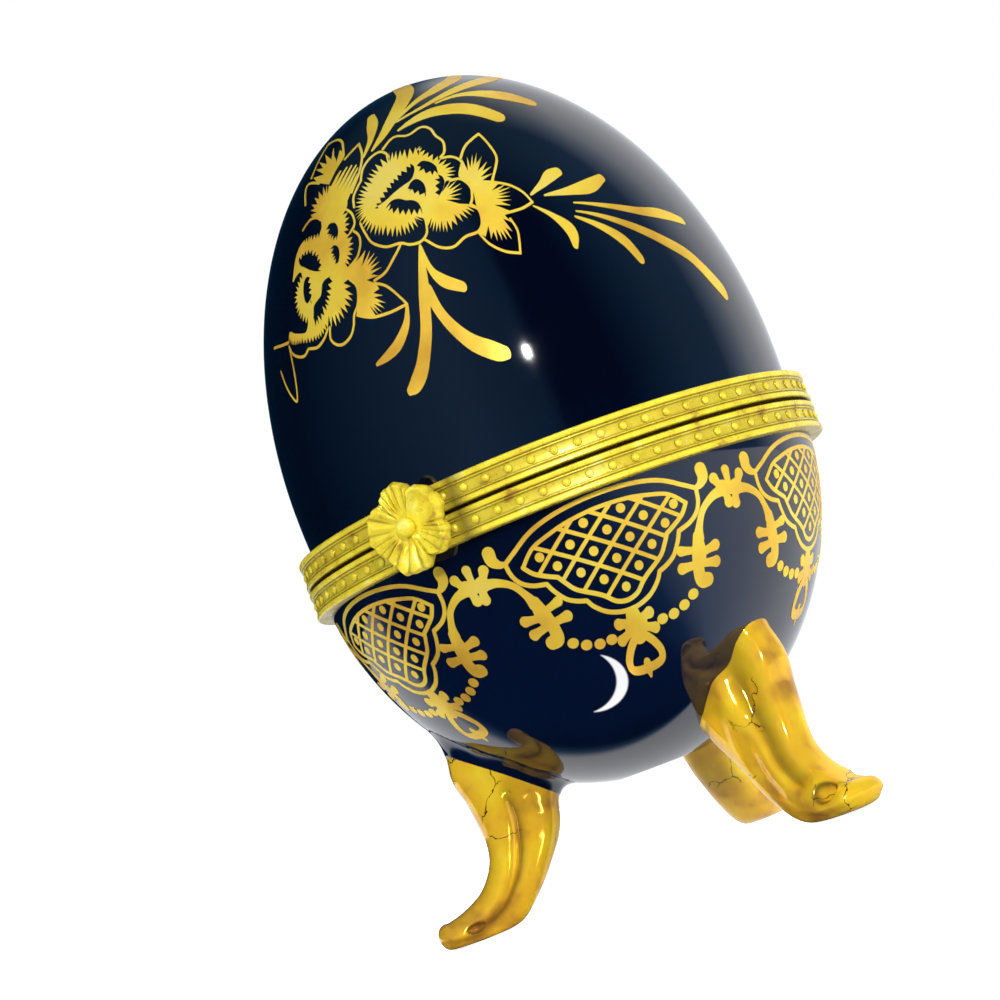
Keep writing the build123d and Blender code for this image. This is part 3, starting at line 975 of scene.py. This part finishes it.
left_peony = [
    # Outer edge
    [
        ([(-31.1, 23.3), (-30.6, 24.5), (-29.9, 25.7), (-28.9, 27.5), (-27.6, 29.2), (-26.3, 30.3),
          (-24.8, 30.9)], 18, 0.6),
        ([(-23.6, 32.3), (-21.9, 33.1), (-20, 33.3), (-18.7, 32.8),
          (-18.1, 31)], 10, 1.3, (-21.2, 28.5)),
        [(-17.6, 32), (-18, 33.3), (-18.8, 34.2), (-19.9, 34.8), (-18.8, 36.2), (-17.5, 37.3)],
        ([(-16.4, 37.7), (-15.1, 37.4), (-14.9, 35.6)], 6, 1.6, (-17.6, 34.2)),
        [(-14.9, 34.8)],
        ([(-13.1, 34.2), (-12.8, 33), (-12.9, 31.9), (-13.8, 30.8)], 7, 1.8, (-17, 32.4)),
        [(-14.9, 30.8), (-16.1, 30.5), (-17.2, 30.1)],
        ([(-16, 29.8), (-14.8, 28.9), (-14.2, 27.4)], 7, 0.9),
        [(-14.8, 27.1)],
        ([(-13.9, 26.5), (-13.3, 25.4), (-13.1, 24.3)], 5, 0.8),
        [(-12.4, 23.4), (-12.9, 21), (-13.2, 19.2), (-13.4, 18.7)],
        ([(-13.9, 17.8), (-15.3, 17.3), (-16.7, 17.6), (-17.4, 18.6)], 7, 1.3, (-15.4, 21.8)),
        [(-17.3, 19.6), (-16.7, 21.1), (-17.1, 22.2), (-17.7, 22.5)],
        ([(-18.5, 21.6), (-19.2, 20.6), (-20, 19.9)], 6, 0.6),
        [(-21.2, 19.3), (-22.6, 19.4), (-24, 20), (-24.9, 20.5), (-24.1, 20.9), (-23.3, 21.5),
         (-23.1, 22.1)],
        ([(-24.7, 21.7), (-26.2, 22.1), (-27.2, 23.4), (-27.4, 25), (-27, 26.8)], 13, 0.8),
        [(-28, 26.7), (-28.9, 25.3), (-29.6, 23.7), (-30, 22.4), (-31, 22.3)],
    ],
    # Dark slots
    [
        [(-21.3, 25.1), (-21.9, 23.7), (-22.3, 22.3), (-22.6, 21.2), (-22.4, 20.4), (-21.9, 20.1)],
        ([(-20.8, 20.9), (-20, 22.2), (-19.6, 23.7), (-19.7, 25.1), (-20.6, 26.1)], 9, 0.6),
    ],
    [
        [(-25.2, 24.8), (-24.6, 23.8), (-23.6, 23.3), (-22.8, 23.6), (-22.5, 24.4)],
        ([(-23.1, 25.3), (-23.8, 25.9), (-24.6, 26.8), (-25.1, 25.6)], 6, 0.6),
    ],
    [
        [(-25.4, 27.4), (-24.6, 27), (-23.6, 27.4), (-22.7, 27.7), (-21.7, 27.2), (-20.9, 27.4),
         (-20.1, 28), (-19.5, 28.5)],
        ([(-20.8, 29.2), (-21.9, 29.7), (-23, 29.9), (-24.4, 29.6), (-25.8, 29.1),
          (-26.7, 28.1)], 11, 0.9),
    ],
    [
        [(-16, 23.3), (-15.3, 24.3), (-15.6, 25.5), (-16.6, 26.1)],
        ([(-17.1, 25.2), (-17.3, 24.3), (-16.9, 23.3)], 5, 0.6),
    ],
    [
        [(-17.1, 26.1), (-16.8, 27), (-17.3, 27.9), (-18.5, 28.5)],
        ([(-18.5, 27.4), (-18.3, 26.7), (-17.9, 25.8)], 5, 0.55),
    ],
]
right_leaves = [
    [
        [(3, 28.1), (3.3, 27.6)],
        ([(4.5, 27.3), (5.5, 27.1), (6.2, 28.4), (6.7, 29.6), (6.1, 31.2)], 8, 1.8, (3.4, 31.2)),
        [(7, 31.6)],
        ([(8.3, 32.1), (8, 33.1), (7.9, 34), (7.2, 35.2)], 7, 1.8, (3.4, 33.6)),
        [(6.4, 35.6), (7, 36.6)],
        ([(6.4, 38.5), (5.2, 38.6), (4, 38.5), (2.7, 37.8)], 7, 1.3, (4.6, 34.6)),
        [(2, 37), (2.9, 36.2), (3.2, 35), (3, 33.9), (3.2, 32.5), (3.2, 31.2), (2.6, 30.3), (2.1, 29.8),
         (2.5, 28.9)],
    ],
]
bud = [
    [
        [(-11.5, 17.6), (-9.8, 16.9), (-9.9, 15)],
        ([(-10.4, 13), (-11.6, 12), (-12.7, 12), (-13.6, 12.6), (-14.4, 13.6)], 5, 2.6, (-12, 19)),
        [(-14.2, 16), (-13.3, 18.5)],
    ],
]


def spray_pieces():
    """All the pieces of the lid's spray."""
    pieces = [patch(loops) for loops in (right_peony, left_peony, right_leaves, bud)]
    pieces += [stroke(points) for points in fronds]
    pieces += [line(points) for points in outlines]
    return pieces


band_tilts = [1.4, -0.4, 0.5, -0.3, 0.6, -0.5]
for repeat, tilt in enumerate(band_tilts):
    chart = on_bowl(band_azimuth + 360 / band_repeats * repeat, tilt)
    gild(f"band_{repeat + 1}", "base", band_pieces(), chart)
for name, turn in (("front", 0), ("back", 180)):
    gild(f"spray_{name}", "lid", spray_pieces(), on_lid(turn))


# Clasp


def petal_edge(turn):
    """How far out the flower reaches, how deep a cleft it is in, the petal and the place across it."""
    angle = math.degrees(turn) % 360
    edges = [cleft for cleft, *_ in petals]
    index = max((k for k in range(len(edges)) if edges[k] <= angle), default=len(edges) - 1)
    span = (edges[(index + 1) % len(edges)] - edges[index]) % 360
    share = (angle - edges[index]) % 360 / span
    swell = math.sin(math.pi * share)
    ruffle = 0.018 * math.sin(11 * turn) + 0.012 * math.sin(23 * turn + 1)
    return 0.74 + 0.23 * swell**0.5 + ruffle, 1 - swell**0.35, petals[index], share


def make_flower():
    """Five-petalled cast flower with radiating ribs, hollow petals and rolled, beaded edges."""
    turns = 300
    steps = 36
    points = []
    shade_and_tarnish = []
    for step in range(steps + 1):
        share = step / steps
        for k in range(turns):
            turn = 2 * math.pi * k / turns
            reach, cleft, (_, ribs, rib_height, hollow), place = petal_edge(turn)
            uneven = place + 0.05 * math.sin(2 * math.pi * place + ribs)
            rib = math.cos(2 * math.pi * ribs * uneven)
            ribbed = smooth(0.3, 0.52, share) * (1 - 0.5 * smooth(0.88, 1, share))
            cup = hollow * math.sin(math.pi * place) ** 1.2 * bell((share - 0.66) / 0.2)
            roll = (0.06 + 0.45 * hollow) * bell((share - 0.91) / 0.06)
            roll *= 1 + 0.35 * math.sin(46 * turn)
            height = 0.58 + 0.38 * smooth(0.1, 0.8, share) - 0.34 * smooth(0.9, 1, share) ** 2
            height += rib_height * rib * ribbed - cup + roll
            height -= 0.42 * smooth(0.4, 1, cleft) * smooth(0.3, 0.9, share)
            radius = flower_radius * reach * share
            side = radius * math.sin(turn)
            rise = radius * math.cos(turn)
            height += 0.3 * bell(math.hypot(side - 0.5, rise + 1.1) / 0.4)
            points.append((side, flower_high.y - flower_height * min(1, height), parting + rise))
            # Painted shade in the valleys between the ribs and in the clefts between the petals
            valley_shade = 0.55 * smooth(-0.7, -1, rib) * ribbed * smooth(0.02, 0.06, rib_height)
            shade_and_tarnish.append(max(valley_shade, 0.8 * smooth(0.6, 1, cleft) * smooth(0.35, 0.6, share)))
    for k in range(turns):
        turn = 2 * math.pi * k / turns
        radius = flower_radius * (petal_edge(turn)[0] - 0.03)
        points.append((radius * math.sin(turn), flower_high.y, parting + radius * math.cos(turn)))
        # The flat back is darker
        shade_and_tarnish.append(0.4)
    faces = quads(0, steps + 2, turns)
    faces.append([(steps + 1) * turns + k for k in range(turns)])
    flower = make_object("flower", points, faces, brass, sharp=50, shade_and_tarnish=shade_and_tarnish)
    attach(flower, "clasp")
    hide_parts("clasp_flower")


make_flower()


# Feet

bowl_mean_radius = 30


def bowl_clearance(radius, height):
    """About how far a point lies outside the bowl."""
    return (math.hypot(radius / bowl_radius, (height - bowl_centre) / bowl_depth) - 1) * bowl_mean_radius


def leg_relief(node, share, turn):
    """Depth of the flutes and hollows in a leg, as a share of its girth, and their shade."""
    start, end, left_top, left_low, right, before, after, *hollow = leg_flutes[node]
    hollow_share, hollow_turn, hollow_length, hollow_width = hollow
    flute = right if math.sin(turn) > 0 else mix(left_top, left_low, smooth(0.05, 0.4, share))
    angle = abs(math.degrees(math.atan2(math.sin(turn), math.cos(turn))))
    off = angle - flute
    near = bell(off / (before if off < 0 else after)) * min(1, 4 * abs(math.sin(turn)))
    crease = bell(off / (0.8 * before if off < 0 else min(9, 0.8 * after)))
    fluted = smooth(start, start + 0.14, share) * (1 - smooth(end - 0.06, end + 0.06, share))
    pit = math.hypot((share - hollow_share) / hollow_length, (angle - hollow_turn) / hollow_width)
    depth = max(flute_depth * near * fluted, pit_depth * (1 - smooth(0.45, 1, pit)))
    under_bowl = smooth(130, 170, angle) * (1 - smooth(0.3, 0.6, share))
    shade = max(flute_shade * crease * fluted, pit_shade * bell((pit - 0.85) / 0.14))
    return depth, max(shade, back_shade * under_bowl)


def leg_point(node, share, turn, grow, push):
    """Point on a leg by its share of the way down and its turn from the front, with its shade."""
    twist, front_top, front_low, back_top, back_low, fillet = leg_forms[node]
    out, up, deep, front, waist, back, tilt = curve_at(leg_stations, share)
    azimuth = foot_azimuths[node] + twist * (1 - smooth(0, 0.6, share))
    lean = math.radians(tilt)
    along = math.cos(turn)
    side = math.copysign(abs(math.sin(turn)) ** 0.75, math.sin(turn))
    ahead = mix(front_top, front_low, smooth(0.1, 0.5, share)) * (1 - smooth(0.55, 0.98, share))
    ahead *= smooth(0, 0.6, along)
    behind = mix(back_top, back_low, smooth(0.02, 0.15, share)) * (1 - smooth(0.04, 0.3, share))
    behind *= smooth(0, 0.6, -along)
    bulge = waist + (front - waist) * smooth(0, 0.5, along)
    bulge += (back - waist) * smooth(0, 0.5, -along)
    x = leg_depth / 2 * deep * along * (1 + ahead + behind)
    y = leg_width / 2 * bulge * side * (1 + 0.6 * behind)
    depth, shade = leg_relief(node, share, turn)
    scale = grow * (1 - depth)

    def place(size):
        radius = mix(leg_seat_radius, toe_radius, out) + push + x * size * math.cos(lean)
        height = up * leg_seat_height + x * size * math.sin(lean)
        return radius, y * size, height

    radius, across, height = place(scale)
    flare = 0
    for _ in range(6):
        clear = min(fillet, max(0, bowl_clearance(math.hypot(radius, across), height)))
        flare = mix(flare, fillet - math.sqrt(fillet**2 - (fillet - clear) ** 2), 0.5)
        radius, across, height = place(scale * (1 + flare / max(1.5, math.hypot(x, y))))
    height = max(0, 0.5 * (height + math.hypot(height, 0.5)) - 0.06)
    flat_x, flat_y, _ = around(radius, azimuth, 0)
    turn_x, turn_y, _ = around(across, azimuth + 90, 0)
    return (flat_x + turn_x, flat_y + turn_y, height), shade


def sleeve(name, node, rings, material):
    """Closed skin over rings of (share, grow, push) down a leg."""
    columns = 128
    points = []
    shade_and_tarnish = []
    for ring in rings:
        for column in range(columns):
            point, shade = leg_point(node, ring[0], 2 * math.pi * column / columns, *ring[1:])
            points.append(point)
            shade_and_tarnish.append(shade)
    faces = quads(0, len(rings), columns)
    faces.append(list(reversed(range(columns))))
    faces.append([(len(rings) - 1) * columns + column for column in range(columns)])
    made = make_object(name, points, faces, material, sharp=60, shade_and_tarnish=shade_and_tarnish)
    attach(made, "base")
    return made


def make_foot(node, tuck):
    """Cabriole foot: two lobes with a flute down each side that ends in a hollow at the toe."""
    rows = 96
    tucked_rows = 8
    toe_round = 1.3
    rings = [(row / (rows - 1), tuck if row < tucked_rows else 1.0, 0.0) for row in range(rows)]
    for lean in (14.5, 29, 43.5, 58, 72.5, 87):
        turn = math.radians(lean)
        rings.append((1.0, math.cos(turn), toe_round * math.sin(turn)))
    leg = sleeve(node.replace("foot", "leg"), node, rings, lustre)
    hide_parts(node)


make_foot("foot_front_left", 0.95)
make_foot("foot_front_right", 1.0)
make_foot("foot_rear", 1.0)
# Blue glaze that runs down over the top of one foot, with a rounded lower edge
glaze_rows = 24
glaze_end = 0.085
glaze_grow = 1.012
glazed = [(glaze_end * row / glaze_rows, glaze_grow, 0.0) for row in range(glaze_rows + 1)]
glazed += [(0.087, 1.008, 0.0), (0.088, 1.0, 0.0), (0.088, 0.95, 0.0)]
sleeve("glaze_front_left", "foot_front_left", glazed, glaze)


# Brass nodes that keep their CAD shape

for node in ("clasp_tongue", "clasp_rivet", "catch_stud", "hinge_base_leaf", "hinge_lid_leaf",
             "hinge_pin"):
    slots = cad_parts[node].data.materials
    slots.clear()
    slots.append(brass)


# Stage


def view_axes(azimuth, elevation, roll):
    """Right, up and back axes of a camera that looks at the egg's axis."""
    turn = math.radians(azimuth)
    rise = math.radians(elevation)
    back = Vector((math.sin(turn) * math.cos(rise), -math.cos(turn) * math.cos(rise), math.sin(rise)))
    level = Vector((math.cos(turn), math.sin(turn), 0))
    above = back.cross(level)
    lean = math.radians(roll)
    right = level * math.cos(lean) - above * math.sin(lean)
    up = level * math.sin(lean) + above * math.cos(lean)
    return right, up, back


camera_azimuth = 30.0
camera_elevation = -7.05
camera_roll = 20.9
camera_distance = 235.2
camera_lens = 77.48
aim_height = 42.6
aim_right = 6.03
aim_down = -1.44
# Light that the gloss mirrors, as azimuths and levels: the room's walls, then the floor
wall_levels = [
    (-90, 0.03), (-65, 0.1), (-31, 0.2), (3, 0.28), (38, 0.18), (44, 0.03), (50, 0.01), (72, 0.01),
    (80, 0.07), (95, 0.18), (108, 0.25), (128, 0.27), (138, 0.6), (150, 0.9), (165, 1), (200, 0.95),
    (207, 0.1), (230, 0.03),
]
overhead_colour = (0.04, 0.1, 0.16)
floor_levels = [
    (-90, 1), (-82, 1), (-77, 0.3), (-72, 0.03), (17, 0.02), (40, 0.2), (65, 0.62), (105, 0.8),
    (150, 1), (270, 1),
]
floor_pivot = around(17.8, 82, 0)
floor_half = 420
floor_glow = 0.86

# Crescent of light on the floor: inside the first circle and outside the second
crescent_outer = ((4.6, -26.6, 0), 8.5)
crescent_inner = ((1.6, -29.5, 0), 10.1)
crescent_edge = 0.2
crescent_colour = (10, 10, 10)


def put(name, data, axes, place):
    """Camera or lamp at a place, turned to its right, up and back axes."""
    made = bpy.data.objects.new(name, data)
    made.matrix_world = Matrix.Translation(place * mm) @ Matrix(axes).transposed().to_4x4()
    scene.collection.objects.link(made)
    return made


def make_camera():
    """Camera at the photograph's viewing angle, with the egg's axis a little off the middle."""
    axes = view_axes(camera_azimuth, camera_elevation, camera_roll)
    right, up, back = axes
    eye = Vector((0, 0, aim_height)) + back * camera_distance - right * aim_right + up * aim_down
    lens = bpy.data.cameras.new("camera")
    lens.lens = camera_lens
    lens.clip_start = 1 * mm
    scene.camera = put("camera", lens, axes, eye)


def against(tree, coordinates, point, operation):
    """Node that sets a place or direction against a point."""
    here = add_node(tree, "TexCoord").outputs[coordinates]
    made = add_node(tree, "VectorMath", [(here, 0)], operation=operation)
    made.inputs[1].default_value = Vector(point) * mm
    return made


def room(tree, coordinates, levels, pivot=(0, 0, 0)):
    """Light of the room round a pivot from (azimuth, level) pairs, bluer where it is dim."""
    way = against(tree, coordinates, pivot, "SUBTRACT").outputs["Vector"]
    bearing = add_node(tree, "TexGradient", [(way, "Vector")], gradient_type="RADIAL")
    stops = []
    for azimuth, level in levels:
        colour = (level * 0.95 * level, level * mix(0.4, 0.97, level), level)
        stops.append(((azimuth + 90) / 360, colour))
    return ramp(tree, bearing.outputs["Fac"], stops)


def floor_disc(tree, centre, radius):
    """Share of the floor's light inside a circle with a soft edge."""
    away = against(tree, "Object", centre, "DISTANCE").outputs["Value"]
    edges = {"start": (radius + crescent_edge) * mm, "end": (radius - crescent_edge) * mm}
    return spread(tree, away, **edges)


def make_floor():
    """Pale floor that keeps the egg's shadow. The gloss sees the room's light on it instead."""
    material, tree, shader = new_material("floor")
    shader.inputs["Base Color"].default_value = (0.9, 0.9, 0.9, 1)
    shader.inputs["Roughness"].default_value = 0.9
    shader.inputs["Specular IOR Level"].default_value = 0.0
    shader.inputs["Emission Color"].default_value = (1, 1, 1, 1)
    path = add_node(tree, "LightPath").outputs
    glow = add_node(tree, "Math", [(path["Is Camera Ray"], 0)], operation="MULTIPLY")
    glow.inputs[1].default_value = floor_glow
    tree.links.new(glow.outputs["Value"], shader.inputs["Emission Strength"])
    discs = [(floor_disc(tree, *crescent_outer), 0), (floor_disc(tree, *crescent_inner), 1)]
    crescent = add_node(tree, "Math", discs, operation="SUBTRACT", use_clamp=True).outputs["Value"]
    dim = room(tree, "Object", floor_levels, floor_pivot)
    lit = tinted(tree, crescent, dim, crescent_colour)
    mirrored = add_node(tree, "Emission", [(lit, "Color")])
    shaders = [(path["Is Glossy Ray"], 0), (shader.outputs[0], 1), (mirrored.outputs[0], 2)]
    both = add_node(tree, "MixShader", shaders)
    tree.links.new(both.outputs[0], tree.nodes["Material Output"].inputs["Surface"])
    corners = [(floor_half * x, floor_half * y, 0) for x, y in ((-1, -1), (1, -1), (1, 1), (-1, 1))]
    floor = make_object("floor", corners, [[0, 1, 2, 3]], material)


def make_world():
    """White for the camera and behind the egg, a dimmer room on the camera's side."""
    world = bpy.data.worlds.new("world")
    scene.world = world
    world.use_nodes = True
    tree = world.node_tree
    direction = add_node(tree, "TexCoord").outputs["Generated"]
    height = add_node(tree, "SeparateXYZ", [(direction, "Vector")]).outputs["Z"]
    overhead = spread(tree, height, start=0.72, end=0.98)
    dimmed = tinted(tree, overhead, room(tree, "Generated", wall_levels), overhead_colour)
    seen = add_node(tree, "LightPath").outputs["Is Camera Ray"]
    light = add_node(tree, "VectorMath", [(dimmed, 0), (seen, 1)], operation="MAXIMUM")
    tree.links.new(light.outputs["Vector"], tree.nodes["Background"].inputs["Color"])


def make_lamp(name, azimuth, elevation, distance, size, power, mirrored):
    """Square lamp that faces the egg. Gloss shows it only where it is mirrored."""
    light = bpy.data.lights.new(name, "AREA")
    light.size = size * mm
    light.energy = power
    axes = view_axes(azimuth, elevation, 0)
    lamp = put(name, light, axes, Vector((0, 0, aim_height)) + axes[2] * distance)
    lamp.visible_glossy = mirrored


make_camera()
make_floor()
make_world()
make_lamp("key_lamp", 38, 17, 450, 14, 1.0, True)
make_lamp("left_lamp", -20, 20, 600, 260, 2.4, False)
make_lamp("right_lamp", 85, 12, 600, 260, 2.9, False)
make_lamp("back_lamp", 205, 30, 600, 260, 2.2, False)
scene.view_settings.view_transform = "Standard"
